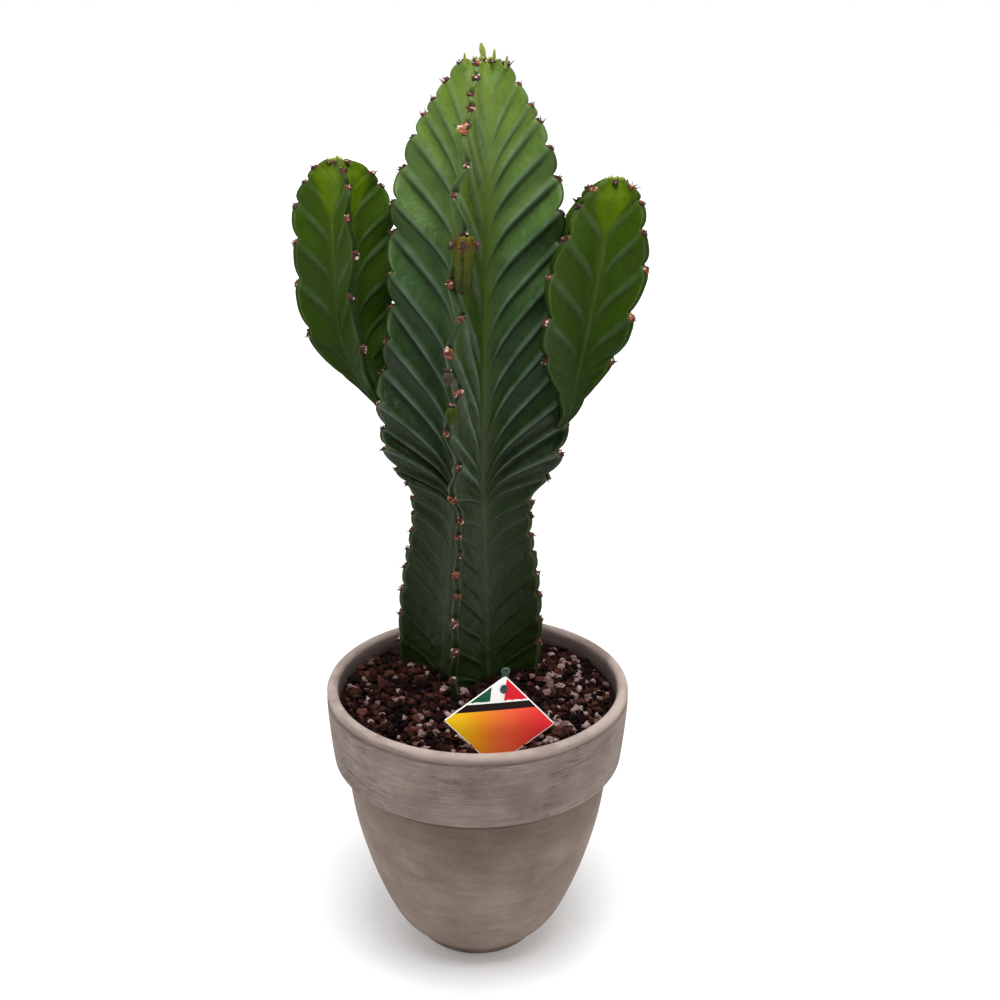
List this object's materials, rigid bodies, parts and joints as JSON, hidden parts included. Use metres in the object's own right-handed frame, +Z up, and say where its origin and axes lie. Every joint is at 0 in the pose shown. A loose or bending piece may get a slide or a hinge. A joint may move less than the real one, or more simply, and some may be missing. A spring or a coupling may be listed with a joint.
{
  "type": "potted euphorbia",
  "caption": "Upright winged euphorbia stem with two side branches, planted in a round grey clay pot topped with lava gravel and a plain label.",
  "frame": {"origin": "centre of the pot's flat underside, on the pot's axis", "axes": "+Z up along the pot's axis; -Y is the front, where the label stands; +X is to the right seen from the front"},
  "size_m": [0.2408, 0.22, 0.6465],
  "materials": {
    "grey_clay": "matte",
    "potting_soil": "matte",
    "lava_gravel": "matte",
    "stem_green": "satin",
    "leaf_green": "satin",
    "dried_bud": "matte",
    "label_card": "satin",
    "label_stake": "satin"
  },
  "bodies": {
    "root": {"pot": "grey_clay", "potting_soil": "potting_soil", "lava_gravel": "lava_gravel", "main_stem": "stem_green", "left_branch": "stem_green", "right_branch": "stem_green", "side_shoot_upper": "stem_green", "side_shoot_lower": "stem_green", "dried_bud": "dried_bud", "tip_leaf_1": "leaf_green", "tip_leaf_2": "leaf_green", "tip_leaf_3": "leaf_green", "tip_leaf_4": "leaf_green", "label_card": "label_card", "label_stake": "label_stake"}
  },
  "joints": []
}
